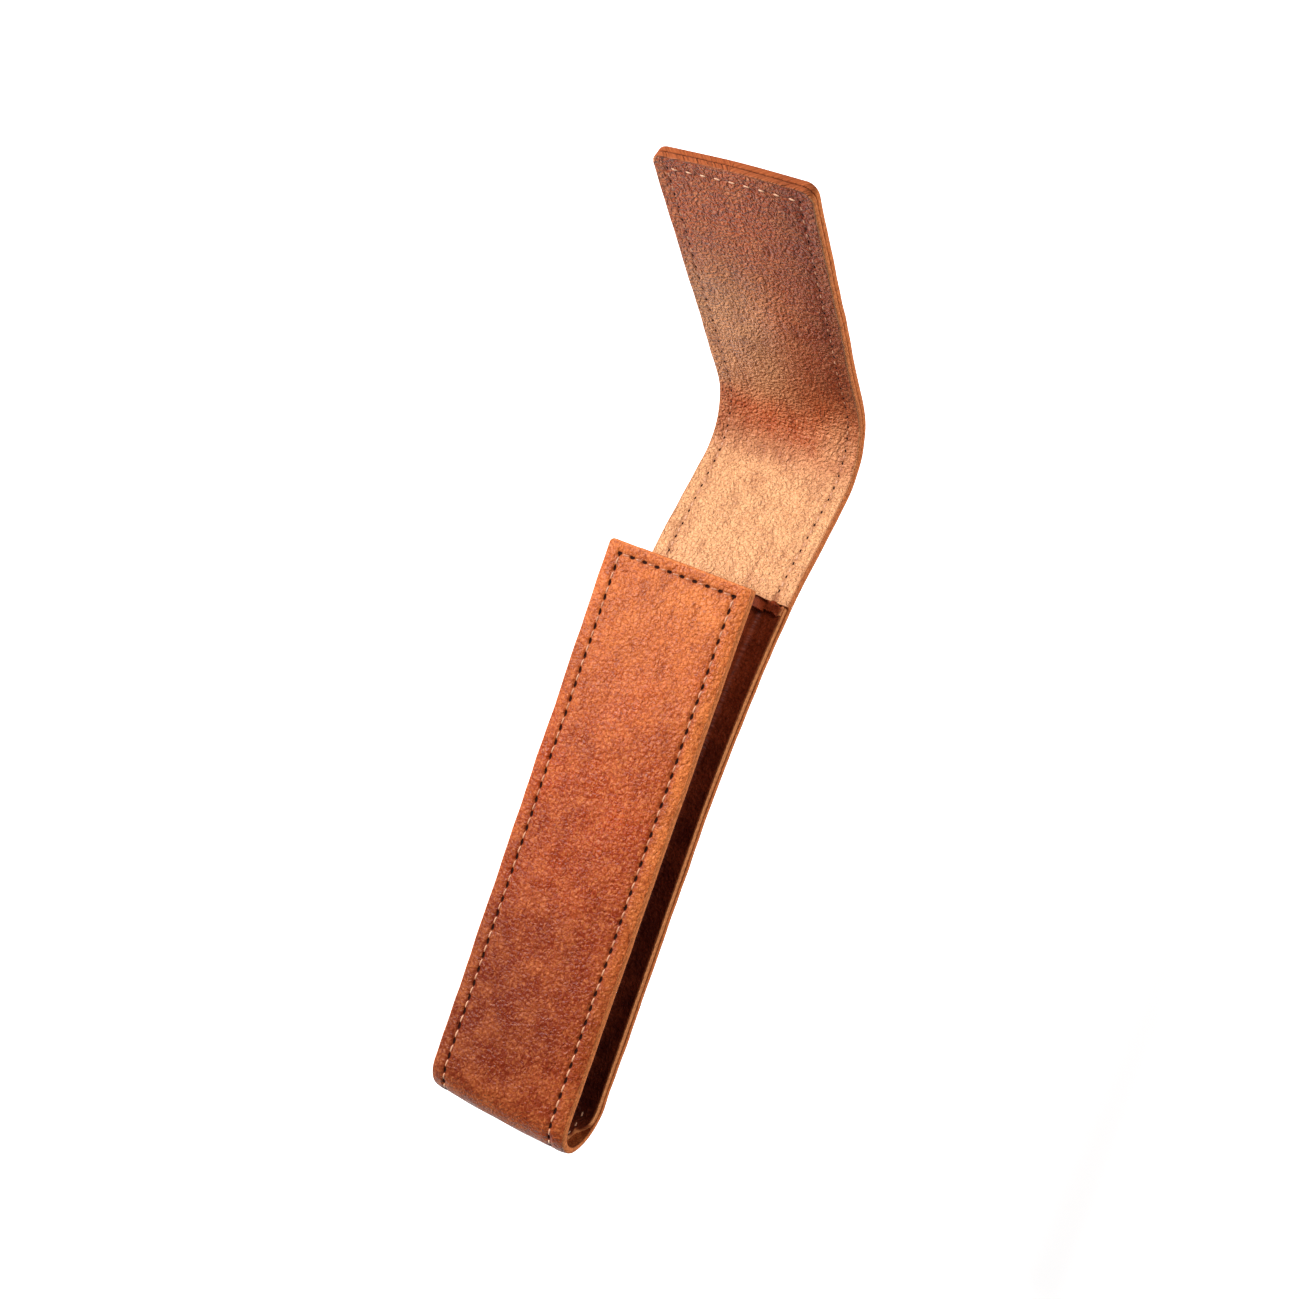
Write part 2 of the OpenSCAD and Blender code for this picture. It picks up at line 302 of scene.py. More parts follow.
def give_uv(mesh, u, v):
    """The piece's own UV map, in millimetres across and along the leather."""
    corner = np.empty(len(mesh.loops), np.int64)
    mesh.loops.foreach_get("vertex_index", corner)
    layer = mesh.uv_layers.new(name="leather_mm")
    layer.data.foreach_set("uv", np.stack([u[corner], v[corner]], 1).astype(np.float32).ravel())


SHARP = 0.95  # radians; a steeper edge is shaded sharp


def finished(mesh, name, material):
    """An object from a mesh in millimetres, with faces outwards, smooth but for its sharp edges."""
    bm = bmesh.new()
    bm.from_mesh(mesh)
    bmesh.ops.remove_doubles(bm, verts=bm.verts[:], dist=1e-4)
    bmesh.ops.recalc_face_normals(bm, faces=bm.faces[:])
    bmesh.ops.scale(bm, vec=(MM, MM, MM), verts=bm.verts[:])
    for f in bm.faces:
        f.smooth = True
    for e in bm.edges:
        if len(e.link_faces) == 2:
            e.smooth = e.calc_face_angle() < SHARP
    bm.to_mesh(mesh)
    bm.free()
    mesh.materials.append(material)
    piece = bpy.data.objects.new(name, mesh)
    scene.collection.objects.link(piece)
    return piece


def rounding(d, r):
    """How far a face falls back at a distance from its edge, for an edge rounded to r."""
    inside = np.clip(r - d, 0, r)
    return r - np.sqrt(np.maximum(r * r - inside * inside, 0))


def round_corners(x, s, start, end, corner_start, corner_end):
    """Draws a blank's square corners in to arcs, and gives each point's distance from the outline."""
    d = HALF_W - np.abs(x)
    x2, s2 = x.copy(), s.copy()
    for edge, r, sign in ((start, corner_start, -1), (end, corner_end, 1)):
        if not r:
            continue
        a = (np.abs(x) - (HALF_W - r)) / r
        b = (s - edge) * sign / r + 1
        inner = (a > 0) & (b > 0)
        ca, cb = np.clip(a, 0, 1), np.clip(b, 0, 1)
        na, nb = ca * np.sqrt(1 - cb**2 / 2), cb * np.sqrt(1 - ca**2 / 2)
        x2 = np.where(inner, np.sign(x) * (HALF_W - r + na * r), x2)
        s2 = np.where(inner, edge + sign * (nb - 1) * r, s2)
        d = np.minimum(d, np.where(b > 0, (1 - b) * r, np.inf))
        d = np.where(inner, r * (1 - np.hypot(na, nb)), d)
    return x2, s2, np.maximum(d, 0)


RIM = (0.0, 0.05, 0.17, 0.38, 0.6)  # rows and columns at these distances from a cut edge
EDGE_R_SHOWN, EDGE_R_HIDDEN = 0.36, 0.16
GROOVE_OUTSIDE, GROOVE_INSIDE = 0.12, 0.04  # how deep the thread sinks the leather round it


def leather_strip(name, material, start, end, top, bottom, ends=(False, False), corners=(0, 0),
                  half=HALF_W, step=0.36, faces="out", waist=None, lift=None):
    """A blank of leather laid along the strap.

    top and bottom are depths below the strap's outer face. faces is the side that shows and
    carries the seams. ends says which ends are free and rounded, and the others meet the next
    piece of the same leather. corners are the radii of the corners at each end, half is the
    blank's half width and step the length of its faces. waist gives another half width at each
    run, and lift an extra outward shift.
    """
    xs = columns(half, RIM)
    ss = rows(start, end, step, RIM, *ends)
    bm = sheet_grid(xs, ss)
    bmesh.ops.solidify(bm, geom=bm.faces[:], thickness=1.0)
    mesh = bpy.data.meshes.new(name)
    bm.to_mesh(mesh)
    bm.free()
    co = coordinates(mesh)
    x, s = co[:, 0], co[:, 1]
    is_top = co[:, 2] > -0.5
    if half == HALF_W:
        x, s, d = round_corners(x, s, start, end, *corners)
    else:
        d = half - np.abs(x)
    for free, corner, gap in ((ends[0], corners[0], s - start), (ends[1], corners[1], end - s)):
        if free and not corner:
            d = np.minimum(d, gap)
    d = np.maximum(d, 0)
    shown_top = faces == "out"
    fall_top = rounding(d, EDGE_R_SHOWN if shown_top else EDGE_R_HIDDEN)
    fall_bottom = rounding(d, EDGE_R_HIDDEN if shown_top else EDGE_R_SHOWN)
    depth = np.where(is_top, top + fall_top, bottom - fall_bottom)
    shown = is_top if shown_top else ~is_top
    dent = GROOVE_OUTSIDE if shown_top else -GROOVE_INSIDE
    seamed = shown & (half == HALF_W)
    groove, holes = seam_marks(x, s)
    places = seam_places(x, s)
    depth = depth + seamed * dent * (groove + 2.5 * holes)
    depth = depth - crown(x, s) + roll(x, s) - waves(x, s)
    if lift is not None:
        depth = depth - lift(x, s)
    u = x + np.sign(x) * (depth - top) * (d < 0.3)
    v = s.copy()
    if waist is not None:
        x = x * waist(s) / half
    give_uv(mesh, u, v)
    mark(mesh, "rim", 1 - smooth((d - 0.04) / 0.3))
    mark(mesh, "seam", groove * seamed)
    for key, values in zip(("side_off", "side_run", "cross_off", "cross_run"), places):
        mark(mesh, key, np.where(seamed, values, NO_SEAM) if "off" in key else values)
    pull_and_painted_light, darkening_and_painted_shade = wear_and_painted_light(x, s)
    # Cut edges are pale, but darker along the flap's tip
    pull_and_painted_light = np.where(d < 0.34, 1 - 0.72 * smooth((s - END_S + 1.6) / 1.2), pull_and_painted_light)
    mark(mesh, "pull_and_painted_light", pull_and_painted_light)
    # The outer leather's hidden underside is drawn at the darkest tone: painted shade inside the pocket's
    # foot
    mark(mesh, "darkening_and_painted_shade", np.where(is_top | (faces == "in"), darkening_and_painted_shade, 1.0))
    x, s = spread(x, s), stretch(x, s)
    set_coordinates(mesh, set_at_foot(laid(x, s, depth), x))
    return finished(mesh, name, material)


def wear_and_painted_light(x, s):
    """How much lighter and darker the leather is drawn, 0 to 1. It is lighter where rubbing and
    bending have paled it and with painted light and painted sheen, and darker towards the front's
    foot and with painted shade on the flap's right.
    """
    front = 1 - smooth((s - BEND_S - 6) / 14.0)
    flap = smooth((s - FOLD_S) / 6.0)
    upper_right = smooth(x + 0.5) * (1 - smooth((s - 35) / 60.0))
    margin = smooth((np.abs(x) - SEAM_X) / 1.4) * (0.1 + 0.65 * upper_right) * (1 - 0.6 * flap)
    lip = 0.35 * (1 - smooth(s / 3.5))
    mouth = 0.55 * (1 - smooth((s - 2) / 50.0))
    # Painted sheen on the front, below the right of the mouth
    painted_sheen_mouth_right = 0.4 * np.exp(-(((x - 6) / 5) ** 2) - ((s - 6) / 4) ** 2)
    foot = 0.3 * np.exp(-(((s - BEND_S - 11) / 8.0) ** 2))
    neck = 0.82 * smooth((s - MOUTH_S + 8) / 8.0) * (1 - smooth((s - CREASE_S + 1) / 15.0))
    # Lighter on the crease's right: partly paling where the leather bends, partly painted light that lifts
    # the crease's shade
    crease_right_paling_and_painted_light = 0.5 * np.exp(-(((x - 11) / 5) ** 2) - ((s - CREASE_S - 10) / 7) ** 2)
    # Painted light and painted sheen on the flap's left half
    flap_length = smooth((s - CREASE_S - 14) / 8.0) * smooth((END_S - 12 - s) / 25.0)
    painted_light_flap_left = 0.5 * flap_length * smooth((8 - x) / 14.0)
    pull_and_painted_light = np.maximum.reduce(
        [margin, lip, mouth + painted_sheen_mouth_right, foot, neck, crease_right_paling_and_painted_light, painted_light_flap_left])
    # The front is drawn darker towards its foot and towards its left edge
    front_darker_to_foot = front * smooth((s - 40) / 50.0) * (0.8 - 0.2 * x / HALF_W)
    # Painted shade on the flap's right side
    darkening_and_painted_shade = front_darker_to_foot + 0.7 * flap * smooth((x - 1) / 11)
    return np.clip(pull_and_painted_light, 0, 1), np.clip(darkening_and_painted_shade, 0, 1)


THREAD_R = 0.18


def stitches(name, material, places):
    """Thread: one short run for each place (across, along, depth, length, crossways, side, pale)."""
    bm = bmesh.new()
    made = []
    for _ in places:
        ball = bmesh.ops.create_uvsphere(bm, u_segments=8, v_segments=7, radius=1.0)
        made.append(ball["verts"])
    shades = []
    for verts, (x, s, depth, length, crossways, sign, pale) in zip(made, places):
        for v in verts:
            a, b, c = v.co.z, v.co.x, v.co.y
            run = math.copysign(abs(a) ** 0.8, a) * length / 2
            fat = THREAD_R * (1 - 0.25 * abs(a) ** 3)
            aside = b * fat * 1.15 - 0.08 * a
            down = depth - sign * (c * fat - 0.4 * abs(a) ** 3)
            v.co = (x + run, s + aside, down) if crossways else (x + aside, s + run, down)
            shades.append(pale)
    mesh = bpy.data.meshes.new(name)
    bm.to_mesh(mesh)
    bm.free()
    x, s, depth = coordinates(mesh).T
    give_uv(mesh, x, s)
    mark(mesh, "pale", shades)
    depth = depth - crown(x, s) + roll(x, s) - waves(x, s)
    x, s = spread(x, s), stretch(x, s)
    set_coordinates(mesh, set_at_foot(laid(x, s, depth), x))
    return finished(mesh, name, material)


# Finishes


def linear(hex_colour):
    """An sRGB hex colour as linear red, green, blue and alpha."""
    value = hex_colour.lstrip("#")
    parts = [int(value[i:i + 2], 16) / 255 for i in (0, 2, 4)]
    return (*[c / 12.92 if c <= 0.04045 else ((c + 0.055) / 1.055) ** 2.4 for c in parts], 1.0)


def add(tree, kind, sockets=None, **settings):
    """Adds a node. Each socket gets a value, an output, or a node, which means its first output."""
    node = tree.nodes.new(kind)
    for key, value in settings.items():
        setattr(node, key, value)
    for key, value in (sockets or {}).items():
        if isinstance(value, bpy.types.Node):
            value = value.outputs[0]
        if isinstance(value, bpy.types.NodeSocket):
            tree.links.new(value, node.inputs[key])
        else:
            node.inputs[key].default_value = value
    return node


def new_material(name):
    """A material with its node tree and a plain surface shader."""
    material = bpy.data.materials.new(name)
    material.use_nodes = True
    tree = material.node_tree
    tree.nodes.clear()
    shader = add(tree, "ShaderNodeBsdfPrincipled")
    add(tree, "ShaderNodeOutputMaterial", {"Surface": shader})
    return material, tree, shader


# The dark of the needle slots is painted shade in the holes
SLOT_SHADE = "#240804"


def leather(name, deep, body, light, top, edges, slots=(0.27, 0.6, 0.3, 0.5), shine=0.2,
            clouds=1.0, mottling=0.3, grain_tone=0.4, relief=0.1, finer=1.0):
    """Oiled pull-up leather, vegetable tanned and aniline dyed: the eye sees a warm brown that clouds
    darker at random, a fine pebble grain with pale tops, and a waxy gloss. Each piece marks where
    it is drawn lighter, for rubbing, bending and painted light, and where it is drawn darker, for a
    darker tone and painted shade.

    deep, body, light and top are its colours from the darkest to the tops of the grain, and edges
    those of its cut fibres. slots are the half widths and lengths of the needle slots of the side
    seams and of the seams across. relief is in millimetres.
    """
    material, tree, shader = new_material(name)
    uv = add(tree, "ShaderNodeUVMap", uv_map="leather_mm").outputs[0]
    pull_and_painted_light, darkening_and_painted_shade, rim, seam, side_off, side_run, cross_off, cross_run = (
        add(tree, "ShaderNodeAttribute", attribute_name=key).outputs["Fac"]
        for key in ("pull_and_painted_light", "darkening_and_painted_shade", "rim", "seam", "side_off", "side_run", "cross_off", "cross_run"))

    # Oil clouds are about 17 mm across, with blotches of about 5 mm in them
    cloud = add(tree, "ShaderNodeTexNoise", {"Vector": uv, "Scale": 0.06, "Detail": 2.5})
    cloudy = add(tree, "ShaderNodeMapRange", {
        "Value": cloud, "From Min": 0.5 - 0.15 / clouds, "From Max": 0.5 + 0.12 / clouds, "To Min": 0.4})
    blotch = add(tree, "ShaderNodeTexNoise", {
        "Vector": uv, "Scale": 0.2, "Detail": 4.0, "Roughness": 0.6})
    mottled = add(tree, "ShaderNodeMapRange", {
        "Value": blotch, "From Min": 0.42, "From Max": 0.7, "To Max": mottling})
    broken = add(tree, "ShaderNodeMapRange", {
        "Value": blotch, "From Min": 0.2, "From Max": 0.6, "To Min": 1 - 1.6 * mottling})
    paler_share = add(tree, "ShaderNodeMath", {0: pull_and_painted_light, 1: broken}, operation="MULTIPLY")

    # Pebbles of real calf are 0.4 to 0.5 mm, drawn at nearly 0.6 mm so that they show
    warp = add(tree, "ShaderNodeTexNoise", {"Vector": uv, "Scale": 0.8, "Detail": 1.0})
    bent = add(tree, "ShaderNodeVectorMath", {0: warp.outputs["Color"], 1: (0.9, 0.9, 0.9), 2: uv},
               operation="MULTIPLY_ADD")
    pebble = add(tree, "ShaderNodeTexVoronoi", {"Vector": bent, "Scale": 1.7 * finer},
                 feature="DISTANCE_TO_EDGE")
    valley = add(tree, "ShaderNodeMapRange", {
        "Value": pebble.outputs["Distance"], "From Max": 0.13, "To Min": 0.45, "To Max": 0.0})
    grain = add(tree, "ShaderNodeTexNoise", {
        "Vector": bent, "Scale": 1.8 * finer, "Detail": 2.5, "Roughness": 0.6})
    pale = add(tree, "ShaderNodeMapRange", {
        "Value": grain, "From Min": 0.49, "From Max": 0.66, "To Max": grain_tone})
    pale_share = add(tree, "ShaderNodeMath", {0: darkening_and_painted_shade, 1: -0.45, 2: 1.0}, operation="MULTIPLY_ADD")
    pale = add(tree, "ShaderNodeMath", {0: pale, 1: pale_share}, operation="MULTIPLY")
    dark = add(tree, "ShaderNodeMapRange", {
        "Value": grain, "From Min": 0.34, "From Max": 0.5, "To Min": grain_tone, "To Max": 0.0})
    hump = add(tree, "ShaderNodeTexNoise", {
        "Vector": bent, "Scale": 1.5 * finer, "Detail": 1.2, "Roughness": 0.5})
    hump_top = add(tree, "ShaderNodeMapRange", {"Value": hump, "From Min": 0.28, "From Max": 0.72},
                   interpolation_type="SMOOTHSTEP")

    # Wrinkles run slantwise, about 1.5 mm apart, in patches
    slanted = add(tree, "ShaderNodeMapping", {
        "Vector": bent, "Rotation": (0, 0, 0.75), "Scale": (0.7, 0.14, 1)})
    folds = add(tree, "ShaderNodeTexNoise", {
        "Vector": slanted, "Scale": 1.0, "Detail": 3.0, "Roughness": 0.6})
    fold_line = add(tree, "ShaderNodeMapRange", {"Value": folds, "From Min": 0.36, "From Max": 0.5})
    patch = add(tree, "ShaderNodeMapRange", {"Value": blotch, "From Min": 0.4, "From Max": 0.58})
    wrinkle = add(tree, "ShaderNodeMath", {0: fold_line, 1: patch}, operation="MAXIMUM")
    creased = add(tree, "ShaderNodeMapRange", {"Value": wrinkle, "To Min": 0.35, "To Max": 0.0})
    dented = add(tree, "ShaderNodeMath", {0: seam, 1: 0.3}, operation="MULTIPLY")

    # Cut edges show fibres in streaks about 1 mm long
    along = add(tree, "ShaderNodeMapping", {"Vector": uv, "Scale": (3.0, 0.9, 1)})
    fibre = add(tree, "ShaderNodeTexNoise", {"Vector": along, "Scale": 1.2, "Detail": 3.0})
    fibrous = add(tree, "ShaderNodeMapRange", {
        "Value": fibre, "From Min": 0.3, "From Max": 0.65, "To Min": 0.35})
    fibrous = add(tree, "ShaderNodeMath", {0: fibrous, 1: pull_and_painted_light}, operation="MULTIPLY")
    cut = add(tree, "ShaderNodeMix", {0: fibrous, 6: linear(edges[0]), 7: linear(edges[1])},
              data_type="RGBA").outputs[2]
    edged = add(tree, "ShaderNodeMath", {0: rim, 1: 0.9}, operation="MULTIPLY")

    # Needle slots are dark ovals of painted shade, set a little slantwise to the seam
    masks = []
    for off, run, pitch, half_width, half_length in (
        (side_off, side_run, SEAM_PITCH, slots[0], slots[1]),
        (cross_off, cross_run, CROSS_PITCH_MOUTH, slots[2], slots[3]),
    ):
        nearest = add(tree, "ShaderNodeMath", {0: run, 1: 0.5, 2: -0.5}, operation="WRAP")
        lengthwise = add(tree, "ShaderNodeMath", {0: nearest, 1: pitch / half_length},
                         operation="MULTIPLY")
        sideways = add(tree, "ShaderNodeMath", {0: off, 1: 1 / half_width}, operation="MULTIPLY")
        slant = add(tree, "ShaderNodeMath", {0: nearest, 1: 0.8, 2: sideways},
                    operation="MULTIPLY_ADD")
        spot = add(tree, "ShaderNodeCombineXYZ", {"X": slant, "Y": lengthwise})
        reach = add(tree, "ShaderNodeVectorMath", {0: spot}, operation="LENGTH")
        masks.append(add(tree, "ShaderNodeMapRange", {
            "Value": reach.outputs["Value"], "From Min": 0.8, "From Max": 1.25,
            "To Min": 1.0, "To Max": 0.0}))
    slot = add(tree, "ShaderNodeMath", {0: masks[0], 1: masks[1]}, operation="MAXIMUM")

    # The mix lays on painted light and painted shade where the pieces mark them
    colour = linear(deep)
    for share, tint in (
        (cloudy, linear(body)), (darkening_and_painted_shade, linear(deep)), (mottled, linear(light)), (paler_share, linear(light)),
        (pale, linear(top)), (dark, linear(deep)), (valley, linear(deep)), (creased, linear(deep)),
        (dented, linear(deep)), (edged, cut), (slot, linear(SLOT_SHADE)),
    ):
        colour = add(tree, "ShaderNodeMix", {0: share, 6: colour, 7: tint}, data_type="RGBA").outputs[2]
    tree.links.new(colour, shader.inputs["Base Color"])

    height = add(tree, "ShaderNodeMath", {0: wrinkle, 1: 0.5, 2: hump_top}, operation="MULTIPLY_ADD")
    height = add(tree, "ShaderNodeMath", {0: slot, 1: -1.5, 2: height}, operation="MULTIPLY_ADD")
    bump = add(tree, "ShaderNodeBump", {"Height": height, "Strength": 1.0, "Distance": relief * MM})
    tree.links.new(bump.outputs[0], shader.inputs["Normal"])
    gloss = add(tree, "ShaderNodeMapRange", {
        "Value": blotch, "From Min": 0.3, "From Max": 0.7, "To Min": 0.38, "To Max": 0.58})
    matt = add(tree, "ShaderNodeMath", {0: slot, 1: rim}, operation="MAXIMUM")
    matt = add(tree, "ShaderNodeMath", {0: gloss, 1: matt}, operation="MAXIMUM")
    tree.links.new(matt.outputs[0], shader.inputs["Roughness"])
    shader.inputs["IOR"].default_value = 1.48
    shader.inputs["Specular IOR Level"].default_value = shine
    return material


def waxed_thread():
    """Bonded polyester thread, waxed and twisted, with a strand showing about every millimetre: a
    satin tan cord that has taken up the leather's dye, and is paler where it is rubbed and where a
    painted glint is drawn on it."""
    material, tree, shader = new_material("waxed_polyester_thread")
    place = add(tree, "ShaderNodeTexCoord").outputs["Object"]
    strands = add(tree, "ShaderNodeTexWave", {
        "Vector": place, "Scale": 320.0, "Distortion": 1.5}).outputs["Fac"]
    pale = add(tree, "ShaderNodeAttribute", attribute_name="pale").outputs["Fac"]
    pale_wear_and_glint = add(tree, "ShaderNodeMath", {0: strands, 1: 0.25, 2: pale},
               operation="MULTIPLY_ADD", use_clamp=True)
    colour = add(tree, "ShaderNodeMix", {0: pale_wear_and_glint, 6: linear("#9c5430"), 7: linear("#eebc96")},
                 data_type="RGBA")
    tree.links.new(colour.outputs[2], shader.inputs["Base Color"])
    bump = add(tree, "ShaderNodeBump", {"Height": strands, "Strength": 0.4, "Distance": 0.05 * MM})
    tree.links.new(bump.outputs[0], shader.inputs["Normal"])
    shader.inputs["Roughness"].default_value = 0.5
    return material


def plated_steel():
    """Nickel-plated magnet steel, tumbled: fine scratches in a soft shine."""
    material, tree, shader = new_material("nickel_plated_steel")
    place = add(tree, "ShaderNodeTexCoord").outputs["Object"]
    scratches = add(tree, "ShaderNodeTexNoise", {"Vector": place, "Scale": 2500.0, "Detail": 3.0})
    colour = add(tree, "ShaderNodeMix", {0: scratches, 6: linear("#b9bbbd"), 7: linear("#cfd0d2")},
                 data_type="RGBA")
    tree.links.new(colour.outputs[2], shader.inputs["Base Color"])
    dull = add(tree, "ShaderNodeMapRange", {"Value": scratches, "To Min": 0.22, "To Max": 0.42})
    tree.links.new(dull.outputs[0], shader.inputs["Roughness"])
    shader.inputs["Metallic"].default_value = 1.0
    return material


# The strap is a deep orange cognac, its lining the same tannage paler and finer, and the gussets
# are drawn a dark red-brown, a painted shade for the recess they lie in
OUTER = leather("oiled_cognac_leather", "#601a04", "#a83c0a", "#d8793a", "#dc8850",
                edges=("#6e2810", "#ee8c50"), slots=(0.23, 0.56, 0.26, 0.5), shine=0.18,
                clouds=0.65, mottling=0.24, grain_tone=0.42, relief=0.12)
LINING = leather("oiled_cognac_lining_leather", "#6a2009", "#b4552a", "#edb47f", "#e6a274",
                 edges=("#6e2810", "#e88448"), slots=(0.14, 0.27, 0.05, 0.05), shine=0.22,
                 clouds=0.5, mottling=0.12, grain_tone=0.36, relief=0.24, finer=1.1)
SHADED_GUSSET = leather("gusset_leather_painted_shade", "#3a0d07", "#5a180b", "#a8441c", "#a04a28",
                 edges=("#8a3a1a", "#f5a264"), clouds=0.7, grain_tone=0.3)
THREAD = waxed_thread()
STEEL = plated_steel()

# Pocket

wrap = leather_strip("wrap_leather", OUTER, 0.0, WRAP_END, 0.0, OUTER_T,
                     ends=(True, False), corners=(MOUTH_R, 0))
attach(wrap, "sleeve")
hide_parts("outer_wrap")

facing = leather_strip("facing_leather", LINING, 0.0, FACING_L, OUTER_T, STACK_T,
                       ends=(True, True), half=PANEL_X, step=0.8, faces="in")
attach(facing, "sleeve")
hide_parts("front_facing")

pocket_lining = leather_strip("pocket_lining_leather", LINING, MOUTH_S - LINING_DROP,
                              POCKET_LINING_END, OUTER_T, STACK_T,
                              ends=(True, False), half=PANEL_X, step=0.8, faces="in")
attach(pocket_lining, "sleeve")
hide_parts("pocket_lining")


def hem_bar(bm, place):
    """Adds a rounded bar of turned leather. place gives the point at each share along the bar,
    across it and through it."""
    bar = bmesh.new()
    bmesh.ops.create_grid(bar, x_segments=8, y_segments=1, size=1)
    bmesh.ops.solidify(bar, geom=bar.faces[:], thickness=1.0)
    bar.normal_update()
    lengthwise = [e for e in bar.edges if abs(e.verts[0].co.x - e.verts[1].co.x) > 0.1
                  and e.calc_face_angle() > 0.8]
    for v in bar.verts:
        v.co = place((v.co.x + 1) / 2, (1 - v.co.y) / 2, -v.co.z)
    bmesh.ops.bevel(bar, geom=lengthwise, offset=0.36, offset_type="OFFSET", segments=4, profile=0.5,
                    affect="EDGES", material=-1, clamp_overlap=True)
    hem = bpy.data.meshes.new("hem")
    bar.to_mesh(hem)
    bar.free()
    bm.from_mesh(hem)
    bpy.data.meshes.remove(hem)


def gusset(name, side, node):
    """One strip of leather bent to a channel: a flange on each panel and a web between them, with
    its upper end turned out into a hem on the web and on the back."""
    fold = 1.1
    edge_x = HALF_W - 0.25
    flange = np.linspace(edge_x, WEB_X + fold, 9)
    quarter = np.linspace(0, math.pi / 2, 6)[1:]
    web_count = 10
    # Columns of the channel: (x, depth, share of the way from the front to the back)
    front = [(x, STACK_T, 0.0) for x in flange]
    front += [(WEB_X + fold - fold * math.sin(t), STACK_T + fold - fold * math.cos(t), 0.0) for t in quarter]
    web = [(WEB_X, STACK_T + fold, k / web_count) for k in range(1, web_count)]
    back = [(x, depth, 1.0) for x, depth, _ in reversed(front)]
    channel = front + web + back
    runs = rows(0.12, FRONT_L + 8.8, 1.1)
    back_end = MOUTH_S - GUSSET_DROP
    bm = sheet_grid(np.arange(len(channel), dtype=float), runs)
    for v in bm.verts:
        x, depth, share = channel[round(v.co.x)]
        t = v.co.y
        x = min(x, edge_x - 2.2 * float(smooth((t - FRONT_L) / 6.0)) ** 2)
        here = np.array([side * x])
        ends = []
        for s in (t, back_end - t):
            sunk = float(depth + roll(np.array(x), s))
            ends.append(set_at_foot(laid(here, np.array([s]), sunk), here)[0])
        slack = 0.35 * math.sin(math.pi * share) * (0.6 + 0.4 * math.sin(0.19 * t))
        slack += 0.5 * math.sin(3 * math.pi * share) * float(smooth((t - FRONT_L + 6) / 10.0))
        point = Vector(ends[0]).lerp(Vector(ends[1]), share)
        v.co = (point.x - side * slack, point.y, point.z)
    bmesh.ops.recalc_face_normals(bm, faces=bm.faces[:])
    inward = sum((f.normal.x * side for f in bm.faces if abs(f.normal.x) > 0.7), 0.0)
    bmesh.ops.solidify(bm, geom=bm.faces[:], thickness=LINING_T if inward > 0 else -LINING_T)
    rim = [e for e in bm.edges if len(e.link_faces) == 2 and e.calc_face_angle() > 1.0]
    bmesh.ops.bevel(bm, geom=rim, offset=0.2, offset_type="OFFSET", segments=2, profile=0.5,
                    affect="EDGES", material=-1, clamp_overlap=True)

    sheet_size = len(bm.verts)

    def on_web(share, across, thick):
        down = 0.15 + HEM_L * across + 0.22 * math.sin(5.5 * share + 0.6)
        x = np.array([side * (WEB_X + 0.02 + thick * LINING_T)])
        high = laid(x, np.array([down]), STACK_T - 0.02)[0]
        low = laid(x, np.array([back_end - down]), STACK_T - 0.02)[0]
        return Vector(high).lerp(Vector(low), share)

    def on_back_flange(share, across, thick):
        down = -0.1 + 1.7 * across + 0.2 * math.sin(6.5 * share + 2.0)
        x = np.array([side * (WEB_X + 0.2 + (HALF_W - WEB_X - 0.7) * share)])
        return laid(x, np.array([back_end - down]), STACK_T - 0.2 + 0.9 * thick)[0]

    hem_bar(bm, on_web)
    hem_bar(bm, on_back_flange)
    mesh = bpy.data.meshes.new(name)
    bm.to_mesh(mesh)
    bm.free()
    co = coordinates(mesh)
    x, y, z = co.T
    give_uv(mesh, z + np.abs(x), y)
    edge_near = np.minimum(edge_x - np.abs(x), MOUTH_Y - 0.15 - y)
    hem_part = np.arange(len(x)) >= sheet_size
    mark(mesh, "rim", np.maximum(1 - smooth((edge_near - 0.15) / 0.35), hem_part))
    for key in ("seam", "side_run", "cross_run"):
        mark(mesh, key, np.zeros_like(x))
    for key in ("side_off", "cross_off"):
        mark(mesh, key, np.full_like(x, NO_SEAM))
    # Cut edges and hems are drawn pale, the hems partly with painted light; the channel is drawn lighter
    # towards the mouth, painted light where the recess opens
    mark(mesh, "pull_and_painted_light", np.where((edge_near < 0.3) | hem_part, 1.0, 0.6 * smooth((y - 20) / 55)))
    # Painted shade, darker towards the foot of the recess
    mark(mesh, "darkening_and_painted_shade", 1 - smooth((y + 30) / 90))
    piece = finished(mesh, name, SHADED_GUSSET)
    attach(piece, "sleeve")
    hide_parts(node)


gusset("gusset_leather_left", -1, "gusset_left")
gusset("gusset_leather_right", 1, "gusset_right")

# Neck, crease, fold and flap: one strap of two leathers, cut where nothing bends

JOINT_RUNS = [MOUTH_S, *[CREASE_S + CREASE_L / CREASE_COUNT * i for i in range(CREASE_COUNT)],
              *[FOLD_S + FOLD_PIECE_L * i for i in range(FOLD_COUNT + 1)]]
PARTS = ["neck", *[f"crease_{i + 1}" for i in range(CREASE_COUNT)],
         *[f"fold_{i + 1}" for i in range(FOLD_COUNT)], "flap"]
CUTS = [WRAP_END, MOUTH_S + 11.5,
        *[(a + b) / 2 for a, b in zip(JOINT_RUNS[1:-1], JOINT_RUNS[2:])], END_S]


def bend_at(piece):
    """Bakes a piece's placement into its mesh."""
    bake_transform(piece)


def node_of(part, layer):
    """crease_2 and outer give crease_outer_2."""
    name, _, number = part.partition("_")
    return f"{name}_{layer}" + (f"_{number}" if number else "")


